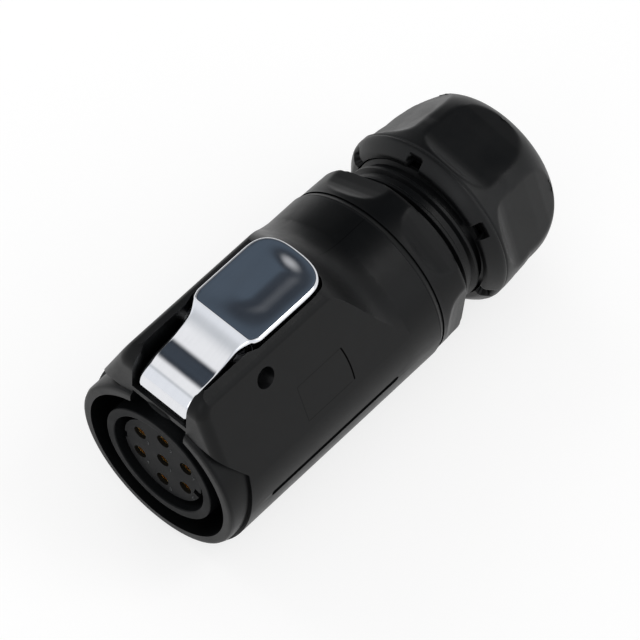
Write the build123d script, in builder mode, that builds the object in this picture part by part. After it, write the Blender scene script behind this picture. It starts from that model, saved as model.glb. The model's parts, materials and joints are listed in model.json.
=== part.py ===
from build123d import *
import os
from math import acos, atan2, cos, hypot, pi, radians, sin, tan

os.makedirs("parts", exist_ok=True)

# The plug lies along X, mating end at x = 0, cable end at +X, lever side +Z. Millimetres.

# Clearances between pieces, and how far a cutting shape runs past what it cuts
running = 0.05
seat = 0.03
free = 0.3
over = 1.0

# Coupling housing: round shell, lower nose ring, walls
shell_r = 17.5
seam_x = 50.9
nose_step = 0.6
nose_len = 4.0
step_tilt = 10.0
nose_wall = 1.9
nose_edge = 0.8
mouth_end_x = 17.2
partition_t = 2.4
chamber_wall = 3.2
seam_wall = 2.6
side_groove_x = 9.1
side_groove_back = 10.5
side_groove_w = 1.2
side_groove_drop = 0.3

# Back housing: spigot, flange with six flats, threaded tail
spigot_len = 8.4
spigot_wall = 2.5
seam_seal_w = 1.3
flange_len = 8.1
flange_band = 1.4
flange_corner_drop = 0.4
flange_flat_drop = 1.5
flange_scoop_x = 2.2
flange_scoop_r = 2.2
flange_scoop_len = 1.9
flange_turn = 26.5
tail_len = 10.5
tail_wall = 2.3
ledge_set = 1.5
ledge_t = 2.6
ledge_in = 3.4

# Gland nut
thread_gap = 6.3
nut_len = 21.2
nut_wall = 3.0
nut_edge = 0.9
nut_collar_len = 2.0
nut_ridge_drop = 0.2
dome_drop = 0.6
dome_len = 11.5
dome_power = 2.38
dome_taper = 3.5
nut_shoulder_depth = 8.5
nut_rim = 0.7
nut_flat_drop = 2.1
nut_flat_turn = -8.0
nut_scoop_x = 3.1
nut_scoop_r = 4.6
nut_scoop_len = 3.2
notch_turn = 9.5
notch_w = 3.0
notch_deep = 2.0
notch_skin = 1.0

# Cable side
cable_r = 4.5
cable_room = 2.5
claw_wall = 3.0
claw_proud = 1.1
claw_slope = 2.6
claw_slots = 8
claw_slot_w = 1.4
claw_root = 2.2
grommet_edge = 0.8
washer_t = 1.5

# Insert: barrel, core and contacts
sleeve_gap = 3.27
barrel_wall = 1.73
barrel_front_x = 0.4
barrel_base_t = 2.0
ring_t = 3.0
barrel_proud = 1.4
core_gap = 1.4
core_front_x = 1.5
core_base_t = 8.5
core_back = 4.3
core_stop_t = 1.0
circlip_t = 0.9
contact_inset = 2.69
contact_count = 7
contact_hole_r = 1.3
contact_wall = 0.4
contact_sunk = 0.6
contact_tail = 5.5
face_seal_t = 1.6

# Saddle that guards the lever
cheek_wall = 1.32
cheek_slope = 1.0
cheek_corner_r = 4.2
saddle_front_x = 0.6
saddle_foot = 2.7
saddle_step = 9.5
saddle_back = 5.4
saddle_edge = 2.0
ramp_len = 19.5
ramp_lead = 0.8

# Slot between the cheeks, front lip and window for the hook
slot_rise = 0.7
slot_front_gap = 0.9
slot_arm_gap = 1.7
slot_pad_gap = 0.35
slot_end_gap = 0.9
slot_step_x = 2.6
slot_step_len = 1.8
lip_drop = 0.5
lip_t = 1.1
lip_back_x = 1.3
window_back_x = 6.6

# Lever
pivot_x = 14.9
hub_r = 2.75
hub_gap = 0.25
arm_y = 5.1
arm_gap = 0.8
arm_front_t = 4.6
hub_side = 0.7
nose_lead = 4.4
nose_drop = 0.5
waist_x = 7.7
rise_x = 9.7
rise_z = 0.25
pad_y = 7.1
pad_rise = 9.5
pad_proud = 1.0
pad_thick = 1.9
pad_end_x = 34.0
pad_front_set = 2.1
end_len = 6.0
end_power = 2.77
nose_x = 1.2
hook_x = 3.0
hook_t = 0.8
hook_reach = 1.1
dish_depth = 0.5
dish_margin = 0.9

# Lever pin and the sunk holes that hold it
pin_r = 1.5
pin_sunk = 1.8
sunk_edge = 0.4

# Lever spring
spring_arm = 11.1
spring_r = 2.0
wire_r = 0.3
spring_turns = 5
spring_sunk = 1.8
spring_gap = 0.4

# Radii that follow from the shell
nose_r = shell_r - nose_step
mouth_r = nose_r - nose_wall
chamber_r = shell_r - chamber_wall
barrel_r = mouth_r - sleeve_gap
barrel_bore_r = barrel_r - barrel_wall
core_r = barrel_bore_r - core_gap
contact_circle_r = core_r - contact_inset
contact_r = contact_hole_r - 2 * running
contact_bore_r = contact_r - contact_wall
spigot_r = shell_r - seam_wall
spigot_bore_r = spigot_r - spigot_wall
seam_groove_r = spigot_r + seam_seal_w
flange_corner_r = shell_r - flange_corner_drop
flange_flat = shell_r - flange_flat_drop
nut_bore_r = shell_r - nut_wall
tail_r = nut_bore_r - free
claw_seat_r = tail_r - tail_wall
ledge_r = claw_seat_r - ledge_in
grommet_r = claw_seat_r - claw_wall
nut_mouth_r = cable_r + cable_room
nut_end_r = nut_mouth_r + nut_rim
nut_ridge_r = shell_r - nut_ridge_drop
nut_flat = shell_r - nut_flat_drop
dome_r = shell_r - dome_drop

# Stations along the axis that follow from the lengths
spigot_front_x = seam_x - spigot_len
chamber_end_x = spigot_front_x - over
saddle_end_x = seam_x - saddle_back
ramp_start_x = saddle_end_x - ramp_len
flange_end_x = seam_x + flange_len
tail_end_x = flange_end_x + tail_len
ledge_x = flange_end_x - ledge_set
claw_front_x = ledge_x + ledge_t
claw_end_x = tail_end_x + claw_proud
nut_front_x = flange_end_x + thread_gap
nut_collar_end_x = nut_front_x + nut_collar_len
nut_end_x = nut_front_x + nut_len
nut_shoulder_x = nut_end_x - nut_shoulder_depth
dome_x = nut_end_x - dome_len
base_front_x = mouth_end_x - barrel_base_t
ring_front_x = mouth_end_x + partition_t
barrel_tail_x = ring_front_x + ring_t + barrel_proud
core_end_x = mouth_end_x + core_back
core_base_x = core_end_x - core_base_t
contact_front_x = core_front_x + contact_sunk
contact_end_x = core_end_x + contact_tail
end_start_x = pad_end_x - end_len
slot_end_x = pad_end_x + slot_end_gap
spring_x = pivot_x + spring_arm

# Heights and half widths on the lever side
slot_floor_z = shell_r + slot_rise
lip_top_z = slot_floor_z - lip_drop
window_top_z = lip_top_z - lip_t
pivot_z = slot_floor_z + hub_gap + hub_r
arm_under_z = slot_floor_z + arm_gap
arm_top_z = arm_under_z + arm_front_t
pad_top_z = shell_r + pad_rise
pad_under_z = pad_top_z - pad_thick
hook_tip_z = mouth_r - hook_reach
cheek_top_z = pad_top_z - pad_proud
cheek_edge_z = cheek_top_z - cheek_slope
slot_front_y = arm_y + slot_front_gap
slot_arm_y = arm_y + slot_arm_gap
slot_pad_y = pad_y + slot_pad_gap
window_y = slot_front_y - 2 * running
cheek_inner_y = slot_arm_y - 0.2
cheek_edge_y = slot_pad_y + cheek_wall
spring_seat_z = slot_floor_z - spring_sunk
ramp_top_r = hypot(cheek_inner_y, cheek_top_z) + ramp_lead

# The flank runs from the edge of the cheek to where it touches the round shell
flank_turn = atan2(cheek_edge_y, cheek_edge_z) + acos(shell_r / hypot(cheek_edge_y, cheek_edge_z))
flank_y = shell_r * sin(flank_turn)
flank_z = shell_r * cos(flank_turn)
pin_half = (shell_r - pivot_z * cos(flank_turn)) / sin(flank_turn) - pin_sunk


def rounded_end(x0, x1, half):
    """Points of a squarish rounded end from (x0, -half) over (x1, 0) to (x0, half)."""
    points = []
    for step in range(-6, 7):
        lean = pi / 2 * step / 6
        y = abs(sin(lean)) ** (2 / end_power) * half
        points.append((x0 + (x1 - x0) * cos(lean) ** (2 / end_power), -y if step < 0 else y))
    return points


def turned(profile, mode=Mode.ADD):
    """Revolve a closed outline of (x, radius) points about the plug axis."""
    with BuildSketch(Plane.XY) as outline:
        with BuildLine():
            Polyline(*profile, close=True)
        make_face()
    revolve(outline.sketch, axis=Axis.X, mode=mode)


def ring(x0, x1, outer, inner=0, mode=Mode.ADD):
    """A round ring about the plug axis, solid when the inner radius is zero."""
    with BuildSketch(Plane.YZ.offset(x0)) as outline:
        Circle(outer)
        if inner:
            Circle(inner, mode=Mode.SUBTRACT)
    extrude(outline.sketch, amount=x1 - x0, mode=mode)


def block(x0, x1, y0, y1, z0, z1, mode=Mode.ADD):
    """A box given by its limits."""
    with BuildSketch(Plane.XY.offset(z0)) as outline:
        with Locations(((x0 + x1) / 2, (y0 + y1) / 2)):
            Rectangle(x1 - x0, y1 - y0)
    extrude(outline.sketch, amount=z1 - z0, mode=mode)


def flat_plane(turn):
    """Plane through the axis whose Y points outwards at a turn from the lever side."""
    return Plane(origin=(0, 0, 0), x_dir=(1, 0, 0), z_dir=(0, -cos(radians(turn)), sin(radians(turn))))


# Saddle blank, a wedge with flanks tangent to the round shell
step_z = shell_r - saddle_step
foot_z = shell_r - saddle_foot
step_top_x = nose_len + tan(radians(step_tilt)) * step_z
root_y = shell_r - 3.5
with BuildPart() as saddle_blank:
    with BuildSketch(Plane.YZ.offset(saddle_front_x)):
        with BuildLine():
            Polyline(
                (root_y, 0),
                (flank_y, flank_z),
                (cheek_edge_y, cheek_edge_z),
                (cheek_inner_y, cheek_top_z),
                (-cheek_inner_y, cheek_top_z),
                (-cheek_edge_y, cheek_edge_z),
                (-flank_y, flank_z),
                (-root_y, 0),
                close=True,
            )
        make_face()
    extrude(amount=saddle_end_x - saddle_front_x)
    with BuildSketch(Plane.XZ):
        with BuildLine():
            front = Polyline(
                (saddle_end_x, 0),
                (step_top_x, 0),
                (step_top_x, step_z),
                (saddle_front_x, foot_z),
                (saddle_front_x, cheek_top_z - cheek_corner_r),
            )
            corner = JernArc(front @ 1, (0, 1), cheek_corner_r, -90)
            Polyline(corner @ 1, (saddle_end_x, cheek_top_z), front @ 0)
        make_face()
    extrude(amount=shell_r + over, both=True, mode=Mode.INTERSECT)
    # behind the pad the saddle runs out into the round shell
    with BuildSketch(Plane.XY):
        with BuildLine():
            before = Polyline((saddle_end_x, 0), (-over, 0), (-over, ramp_top_r), (ramp_start_x, ramp_top_r))
            ramp = Spline(before @ 1, (saddle_end_x, shell_r - running), tangents=((1, 0), (1, 0)))
            Line(ramp @ 1, before @ 0)
        make_face()
    revolve(axis=Axis.X, mode=Mode.INTERSECT)
    # soft edge round the outside of both cheeks
    rims = ShapeList()
    for edge in saddle_blank.edges():
        ends = (edge @ 0, edge @ 1)
        on_flank = all(abs(abs(p.Y) * flank_y + p.Z * flank_z - shell_r**2) < 0.01 for p in ends)
        if on_flank and all(p.Z > foot_z - 0.1 for p in ends):
            rims.append(edge)
    fillet(rims, saddle_edge)

# Coupling housing
with BuildPart() as coupling_housing:
    ring(-nose_len - over, seam_x, shell_r)
    split(
        bisect_by=Plane(origin=(nose_len, 0, 0), z_dir=(cos(radians(step_tilt)), 0, -sin(radians(step_tilt)))),
        keep=Keep.TOP,
    )
    turned(
        [
            (0, 0),
            (0, nose_r - nose_edge),
            (nose_edge * 0.3, nose_r - nose_edge * 0.3),
            (nose_edge, nose_r),
            (mouth_end_x, nose_r),
            (mouth_end_x, 0),
        ]
    )
    add(saddle_blank.part)
    # front cavity, hole through the partition, wiring chamber, threaded seat of the back housing
    ring(-over, mouth_end_x, mouth_r, mode=Mode.SUBTRACT)
    ring(-over, seam_x, barrel_r + seat, mode=Mode.SUBTRACT)
    ring(ring_front_x, chamber_end_x, chamber_r, mode=Mode.SUBTRACT)
    ring(chamber_end_x - over / 2, seam_x + over, spigot_r + seat, mode=Mode.SUBTRACT)
    ring(seam_x - seam_seal_w, seam_x + over, seam_groove_r, mode=Mode.SUBTRACT)
    # slot between the cheeks, waisted like the lever
    with BuildSketch(Plane.XY.offset(slot_floor_z)):
        with BuildLine():
            side = Polyline(
                (-2 * over, -slot_front_y),
                (slot_step_x, -slot_front_y),
                (slot_step_x + slot_step_len, -slot_arm_y),
                (pivot_x - 0.7, -slot_arm_y),
                (pivot_x + 1.3, -slot_pad_y),
                (end_start_x, -slot_pad_y),
            )
            Spline(*rounded_end(end_start_x, slot_end_x, slot_pad_y), tangents=((1, 0), (-1, 0)))
            other = Polyline(
                (end_start_x, slot_pad_y),
                (pivot_x + 1.3, slot_pad_y),
                (pivot_x - 0.7, slot_arm_y),
                (slot_step_x + slot_step_len, slot_arm_y),
                (slot_step_x, slot_front_y),
                (-2 * over, slot_front_y),
            )
            Line(other @ 1, side @ 0)
        make_face()
    extrude(amount=ramp_top_r - slot_floor_z + over, mode=Mode.SUBTRACT)
    # step over the front lip, window for the hook and notch in the rim below it
    cut_top_z = slot_floor_z + over
    cut_low_z = mouth_r - 3 * over
    block(-over, lip_back_x + over, -slot_front_y, slot_front_y, lip_top_z, cut_top_z, Mode.SUBTRACT)
    block(lip_back_x, window_back_x, -window_y, window_y, cut_low_z, cut_top_z, Mode.SUBTRACT)
    block(-over, window_back_x, -window_y, window_y, cut_low_z, window_top_z, Mode.SUBTRACT)
    # seat of the lever spring
    with BuildSketch(Plane.XY.offset(spring_seat_z)):
        with Locations((spring_x, 0)):
            Circle(spring_r + wire_r + spring_gap)
    extrude(amount=cut_top_z - spring_seat_z, mode=Mode.SUBTRACT)
    # cross hole for the pin, sunk on both sides
    for start, end, radius in (
        (0, pin_half + seat, pin_r + seat),
        (pin_half + seat, shell_r, pin_r + sunk_edge),
    ):
        for sign in (1, -1):
            with BuildSketch(Plane.XZ.offset(-sign * start)):
                with Locations((pivot_x, pivot_z)):
                    Circle(radius)
            extrude(amount=-sign * (end - start), mode=Mode.SUBTRACT)
    # long grooves low on both sides
    groove_end_x = seam_x - side_groove_back
    for sign in (1, -1):
        with BuildSketch(Plane.XZ.offset(-sign * (shell_r - 0.5))):
            with Locations(((side_groove_x + groove_end_x) / 2, -side_groove_drop)):
                SlotOverall(groove_end_x - side_groove_x, side_groove_w)
        extrude(amount=-sign * 2 * over, mode=Mode.SUBTRACT)
coupling_housing.part.label = "coupling_housing"
export_step(coupling_housing.part, "parts/coupling_housing.step")
print("coupling_housing", coupling_housing.part.is_valid, coupling_housing.part.volume)

# Release lever: hook and nose in front, hub in the middle, thumb pad behind
pad_front_x = pivot_x + pad_front_set
flare_x = pivot_x + 3.3
flare_w = pad_y - arm_y
with BuildPart() as release_lever:
    with BuildSketch(Plane.XZ):
        with BuildLine():
            hook = Polyline(
                (hook_x + 2 * hook_t, arm_under_z),
                (hook_x + hook_t + 0.2, slot_floor_z + 0.2),
                (hook_x + hook_t, hook_tip_z),
                (hook_x, hook_tip_z),
                (nose_x + 0.9, hook_tip_z + 1.3),
                (nose_x + 0.6, lip_top_z + running),
                (nose_x, lip_top_z + running),
            )
            nose = Spline(
                hook @ 1,
                (nose_x + 0.25, arm_top_z - 2.6),
                (nose_x + 1.5, arm_top_z - 1.25),
                (nose_x + nose_lead, arm_top_z - nose_drop),
                (waist_x, arm_top_z - 0.1),
                (rise_x, arm_top_z + rise_z),
                ((rise_x + pad_front_x) / 2, arm_top_z + 0.4 * (pad_top_z - arm_top_z) + 0.2),
                (pad_front_x, pad_top_z),
                tangents=((-0.1, 1), (1, 0.56)),
            )
            Polyline(
                nose @ 1,
                (pad_end_x, pad_top_z),
                (pad_end_x, pad_under_z + 0.4),
                (pad_end_x - 0.6, pad_under_z),
                (pivot_x + 4.7, pad_under_z),
                (pivot_x + 2.1, pivot_z + 1.4),
                (pivot_x + 1.3, pivot_z - 1.3),
                (pivot_x - 2.5, arm_under_z + 0.4),
                hook @ 0,
            )
        make_face()
    extrude(amount=pad_y + over, both=True)
    with BuildSketch(Plane.XY.offset(hook_tip_z - over)):
        with BuildLine():
            right = Line((0, -arm_y), (pivot_x - 4.4, -arm_y))
            flare = Spline(
                right @ 1,
                (pivot_x - 2.3, -arm_y - flare_w * 0.1),
                (pivot_x - 0.7, -arm_y - flare_w * 0.35),
                (pivot_x + 1.1, -arm_y - flare_w * 0.8),
                (flare_x, -pad_y),
                tangents=((1, 0), (1, 0)),
            )
            edge = Line(flare @ 1, (end_start_x, -pad_y))
            end = Spline(*rounded_end(end_start_x, pad_end_x, pad_y), tangents=((1, 0), (-1, 0)))
            back = Line(end @ 1, (flare_x, pad_y))
            waist = Spline(
                back @ 1,
                (pivot_x + 1.1, arm_y + flare_w * 0.8),
                (pivot_x - 0.7, arm_y + flare_w * 0.35),
                (pivot_x - 2.3, arm_y + flare_w * 0.1),
                (pivot_x - 4.4, arm_y),
                tangents=((-1, 0), (-1, 0)),
            )
            left = Line(waist @ 1, (0, arm_y))
            Line(left @ 1, right @ 0)
        make_face()
    extrude(amount=pad_top_z - hook_tip_z + 2 * over, mode=Mode.INTERSECT)
    # hub round the pin
    hub_half = arm_y + hub_side
    with BuildSketch(Plane.XZ.offset(-hub_half)):
        with Locations((pivot_x, pivot_z)):
            Circle(hub_r)
    extrude(amount=2 * hub_half)
    with BuildSketch(Plane.XZ.offset(-shell_r)):
        with Locations((pivot_x, pivot_z)):
            Circle(pin_r + running)
    extrude(amount=2 * shell_r, mode=Mode.SUBTRACT)
    # dished top of the thumb pad
    dish_y = pad_y - dish_margin
    dish_half = (pad_end_x - pad_front_x) / 2 - dish_margin
    dish_bow_r = (dish_half**2 + dish_depth**2) / (2 * dish_depth)
    dish_low_z = pad_top_z - dish_depth
    with BuildSketch(Plane.YZ.offset((pad_front_x + pad_end_x) / 2)):
        with BuildLine():
            bottom = ThreePointArc((-dish_y, pad_top_z), (0, dish_low_z), (dish_y, pad_top_z))
            Polyline(bottom @ 1, (dish_y, pad_top_z + over), (-dish_y, pad_top_z + over), bottom @ 0)
        make_face()
    bow_axis = Axis(((pad_front_x + pad_end_x) / 2, 0, dish_low_z + dish_bow_r), (0, 1, 0))
    revolve(axis=bow_axis, mode=Mode.SUBTRACT)
    # guide post that keeps the spring in place
    with BuildSketch(Plane.XY.offset(pad_under_z)):
        with Locations((spring_x, 0)):
            Circle(spring_r - wire_r - hub_gap)
    extrude(amount=-1.5 * over)
release_lever.part.label = "release_lever"
export_step(release_lever.part, "parts/release_lever.step")
print("release_lever", release_lever.part.is_valid, release_lever.part.volume)

# Lever pin
with BuildPart() as lever_pin:
    with BuildSketch(Plane.XZ.offset(-pin_half)):
        with Locations((pivot_x, pivot_z)):
            Circle(pin_r)
    extrude(amount=2 * pin_half)
    chamfer(lever_pin.edges().filter_by(GeomType.CIRCLE), 0.25)
lever_pin.part.label = "lever_pin"
export_step(lever_pin.part, "parts/lever_pin.step")

# Lever spring, closed flat between its seat and the underside of the pad
spring_low = spring_seat_z + wire_r
spring_high = pad_under_z - wire_r
with BuildPart() as lever_spring:
    with BuildLine():
        coil = Helix(
            pitch=(spring_high - spring_low) / spring_turns,
            height=spring_high - spring_low,
            radius=spring_r,
            center=(spring_x, 0, spring_low),
        )
    with BuildSketch(Plane(origin=coil @ 0, z_dir=coil % 0)):
        Circle(wire_r)
    sweep()
lever_spring.part.label = "lever_spring"
export_step(lever_spring.part, "parts/lever_spring.step")

# Insert barrel
with BuildPart() as insert_barrel:
    ring(barrel_front_x, barrel_tail_x, barrel_r, barrel_bore_r)
    ring(base_front_x, mouth_end_x, mouth_r - seat, barrel_bore_r)
    ring(core_base_x - core_stop_t, core_base_x, barrel_bore_r + 0.5, core_r + free)
insert_barrel.part.label = "insert_barrel"
export_step(insert_barrel.part, "parts/insert_barrel.step")

# Where the contacts stand: one in the middle, the others round it
spots = [(0.0, 0.0)]
for step in range(contact_count - 1):
    turn = 2 * pi * step / (contact_count - 1)
    spots.append((contact_circle_r * sin(turn), contact_circle_r * cos(turn)))

# Contact insert with two key grooves in its rim
with BuildPart() as contact_insert:
    ring(core_front_x, core_end_x, core_r)
    ring(core_base_x, core_end_x, barrel_bore_r - seat)
    with BuildSketch(Plane.YZ.offset(core_front_x - over)):
        with Locations(*spots):
            Circle(contact_hole_r)
    extrude(amount=core_end_x - core_front_x + 2 * over, mode=Mode.SUBTRACT)
    for angle, depth in ((96.0, 0.5), (-103.0, 1.3)):
        reach = core_r - depth + over
        with BuildSketch(Plane.YZ.offset(core_front_x - over)):
            with Locations((reach * sin(radians(angle)), reach * cos(radians(angle)))):
                Rectangle(2 * over, 1.6, rotation=90 - angle)
        extrude(amount=core_base_x - core_front_x, mode=Mode.SUBTRACT)
contact_insert.part.label = "contact_insert"
export_step(contact_insert.part, "parts/contact_insert.step")

# Contacts: socket bore in front, solder cup behind, open on one side
for number, (spot_y, spot_z) in enumerate(spots, 1):
    with BuildPart() as contact:
        for low, high, radius in (
            (contact_front_x, contact_end_x, contact_r),
            (core_base_x, core_end_x, contact_hole_r - seat),
        ):
            with BuildSketch(Plane.YZ.offset(low)):
                with Locations((spot_y, spot_z)):
                    Circle(radius)
            extrude(amount=high - low)
        for low, high in (
            (contact_front_x - over, core_base_x - 3 * over),
            (core_end_x + 2 * over, contact_end_x + over),
        ):
            with BuildSketch(Plane.YZ.offset(low)):
                with Locations((spot_y, spot_z)):
                    Circle(contact_bore_r)
            extrude(amount=high - low, mode=Mode.SUBTRACT)
        block(
            core_end_x + 3 * over,
            contact_end_x + over,
            spot_y - contact_r,
            spot_y + contact_r,
            spot_z + contact_r / 4,
            spot_z + contact_r + over,
            Mode.SUBTRACT,
        )
    contact.part.label = f"contact_{number}"
    export_step(contact.part, f"parts/contact_{number}.step")

# Circlip behind the core
circlip_gap = 2.4
with BuildPart() as insert_circlip:
    ring(core_end_x, core_end_x + circlip_t, barrel_bore_r - seat, core_r - free)
    block(
        core_end_x - over,
        core_end_x + circlip_t + over,
        -circlip_gap / 2,
        circlip_gap / 2,
        -barrel_r,
        0,
        Mode.SUBTRACT,
    )
insert_circlip.part.label = "insert_circlip"
export_step(insert_circlip.part, "parts/insert_circlip.step")

# Ring nut that clamps the barrel from behind
with BuildPart() as retaining_ring:
    ring(ring_front_x, ring_front_x + ring_t, chamber_r - free, barrel_r + seat)
    with BuildSketch(Plane.YZ.offset(ring_front_x + ring_t / 2)):
        with PolarLocations(chamber_r - free, 6):
            Rectangle(2 * over, 2.4)
    extrude(amount=ring_t, mode=Mode.SUBTRACT)
retaining_ring.part.label = "retaining_ring"
export_step(retaining_ring.part, "parts/retaining_ring.step")

# Face seal at the bottom of the annular gap
seal_inner_r = barrel_r + 1.0
seal_outer_r = mouth_r - seat
with BuildPart() as face_seal:
    turned(
        [
            (base_front_x, seal_inner_r),
            (base_front_x, seal_outer_r),
            (base_front_x - face_seal_t + 0.6, seal_outer_r),
            (base_front_x - face_seal_t, seal_outer_r - 0.77),
            (base_front_x - face_seal_t, seal_inner_r + 0.5),
            (base_front_x - face_seal_t + 0.6, seal_inner_r),
        ]
    )
face_seal.part.label = "face_seal"
export_step(face_seal.part, "parts/face_seal.step")

# Seal between the two housings
with BuildPart() as seam_seal:
    ring(seam_x - seam_seal_w + running, seam_x, seam_groove_r - running, spigot_r + seat)
    chamfer(seam_seal.edges().filter_by(GeomType.CIRCLE), 0.3)
seam_seal.part.label = "seam_seal"
export_step(seam_seal.part, "parts/seam_seal.step")

# Back housing
with BuildPart() as back_housing:
    turned(
        [
            (seam_x, 0),
            (seam_x, shell_r - 3 * running),
            (seam_x + 0.3, shell_r - running),
            (seam_x + flange_band, flange_corner_r - 0.1),
            (seam_x + flange_band + 1.0, flange_corner_r),
            (flange_end_x - 0.5, flange_corner_r),
            (flange_end_x, flange_corner_r - 0.5),
            (flange_end_x, 0),
        ]
    )
    # six flats with a sloped front end
    scoop_x = seam_x + flange_scoop_x
    for number in range(6):
        with BuildSketch(flat_plane(flange_turn + 60 * number)):
            with BuildLine():
                scoop = JernArc((scoop_x + flange_scoop_len, flange_flat), (-1, 0), flange_scoop_r, -66)
                Polyline(
                    scoop @ 1,
                    (scoop_x, flange_corner_r + 2 * over),
                    (flange_end_x + over, flange_corner_r + 2 * over),
                    (flange_end_x + over, flange_flat),
                    scoop @ 0,
                )
            make_face()
        extrude(amount=shell_r, both=True, mode=Mode.SUBTRACT)
    ring(flange_end_x - over, tail_end_x, tail_r)
    ring(spigot_front_x, seam_x + over, spigot_r)
    ring(spigot_front_x - over, ledge_x, spigot_bore_r, mode=Mode.SUBTRACT)
    ring(ledge_x - over, claw_front_x + over, ledge_r, mode=Mode.SUBTRACT)
    ring(claw_front_x, tail_end_x + over, claw_seat_r, mode=Mode.SUBTRACT)
    lead = 1.2
    turned(
        [
            (tail_end_x + over, 0),
            (tail_end_x + over, claw_seat_r + (lead + over) * 0.77),
            (tail_end_x - lead, claw_seat_r),
            (tail_end_x - lead, 0),
        ],
        Mode.SUBTRACT,
    )
back_housing.part.label = "back_housing"
export_step(back_housing.part, "parts/back_housing.step")
print("back_housing", back_housing.part.is_valid, back_housing.part.volume)

# Cable grommet
with BuildPart() as cable_grommet:
    turned(
        [
            (claw_front_x, cable_r + grommet_edge / 2),
            (claw_front_x, grommet_r),
            (claw_end_x - grommet_edge, grommet_r),
            (claw_end_x, grommet_r - grommet_edge),
            (claw_end_x, cable_r + grommet_edge / 2),
            (claw_end_x - grommet_edge / 2, cable_r),
            (claw_front_x + grommet_edge / 2, cable_r),
        ]
    )
cable_grommet.part.label = "cable_grommet"
export_step(cable_grommet.part, "parts/cable_grommet.step")

# Clamp claw, fingers open towards the nut
claw_mid_r = (grommet_r + claw_seat_r) / 2
with BuildPart() as clamp_claw:
    turned(
        [
            (claw_front_x, grommet_r + seat),
            (claw_front_x, claw_seat_r - seat),
            (claw_end_x - claw_slope, claw_seat_r - seat),
            (claw_end_x, claw_mid_r + 0.2),
            (claw_end_x, grommet_r + seat),
        ]
    )
    with BuildSketch(Plane.YZ.offset(claw_front_x + claw_root)):
        with PolarLocations(claw_mid_r, claw_slots):
            Rectangle(claw_wall + 2 * over, claw_slot_w)
    extrude(amount=claw_end_x - claw_front_x, mode=Mode.SUBTRACT)
clamp_claw.part.label = "clamp_claw"
export_step(clamp_claw.part, "parts/clamp_claw.step")

# Slip washer against the shoulder inside the nut
with BuildPart() as slip_washer:
    ring(nut_shoulder_x - washer_t, nut_shoulder_x, nut_bore_r - free, nut_mouth_r + 2 * free)
slip_washer.part.label = "slip_washer"
export_step(slip_washer.part, "parts/slip_washer.step")

# Gland nut
dome = []
for step in range(9):
    lean = pi / 2 * step / 8
    x = dome_x + dome_len * sin(lean) ** (2 / dome_power)
    dome.append((x, nut_end_r + (dome_r - nut_end_r) * cos(lean) ** (2 / dome_power)))
with BuildPart() as gland_nut:
    with BuildSketch(Plane.XY):
        with BuildLine():
            face = Line((nut_front_x, 0), (nut_front_x, shell_r - nut_edge))
            round_edge = JernArc(face @ 1, (0, 1), nut_edge, -90)
            collar = Polyline(
                round_edge @ 1,
                (nut_collar_end_x, shell_r),
                (nut_collar_end_x + 0.15, nut_ridge_r),
                (dome_x - dome_taper, nut_ridge_r),
            )
            cap = Spline(collar @ 1, *dome, tangents=((1, 0), (0, -1)))
            Polyline(cap @ 1, (nut_end_x, 0), (nut_front_x, 0))
        make_face()
    revolve(axis=Axis.X)
    # six scooped grip flats
    grip_x = nut_front_x + nut_scoop_x
    for number in range(6):
        with BuildSketch(flat_plane(nut_flat_turn + 60 * number)):
            with BuildLine():
                scoop = JernArc((grip_x + nut_scoop_len, nut_flat), (-1, 0), nut_scoop_r, -58)
                Polyline(
                    scoop @ 1,
                    (grip_x - 0.6, shell_r + 3 * over),
                    (nut_end_x + 2 * over, shell_r + 3 * over),
                    (nut_end_x + 2 * over, nut_flat),
                    scoop @ 0,
                )
            make_face()
        extrude(amount=shell_r, both=True, mode=Mode.SUBTRACT)
    # bore, shoulder and mouth for the cord
    ring(nut_front_x - over, nut_shoulder_x, nut_bore_r, mode=Mode.SUBTRACT)
    ring(nut_shoulder_x - over, nut_end_x + over, nut_mouth_r, mode=Mode.SUBTRACT)
    # notches in the front face
    with BuildSketch(Plane.YZ.offset(nut_front_x - over)):
        with PolarLocations(nut_bore_r, 6, start_angle=90 - notch_turn):
            Rectangle(2 * (nut_wall - notch_skin), notch_w)
    extrude(amount=over + notch_deep, mode=Mode.SUBTRACT)
gland_nut.part.label = "gland_nut"
export_step(gland_nut.part, "parts/gland_nut.step")
print("gland_nut", gland_nut.part.is_valid, gland_nut.part.volume)
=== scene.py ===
import json
import math
import bpy
import bmesh
from mathutils import Matrix, Vector


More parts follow.
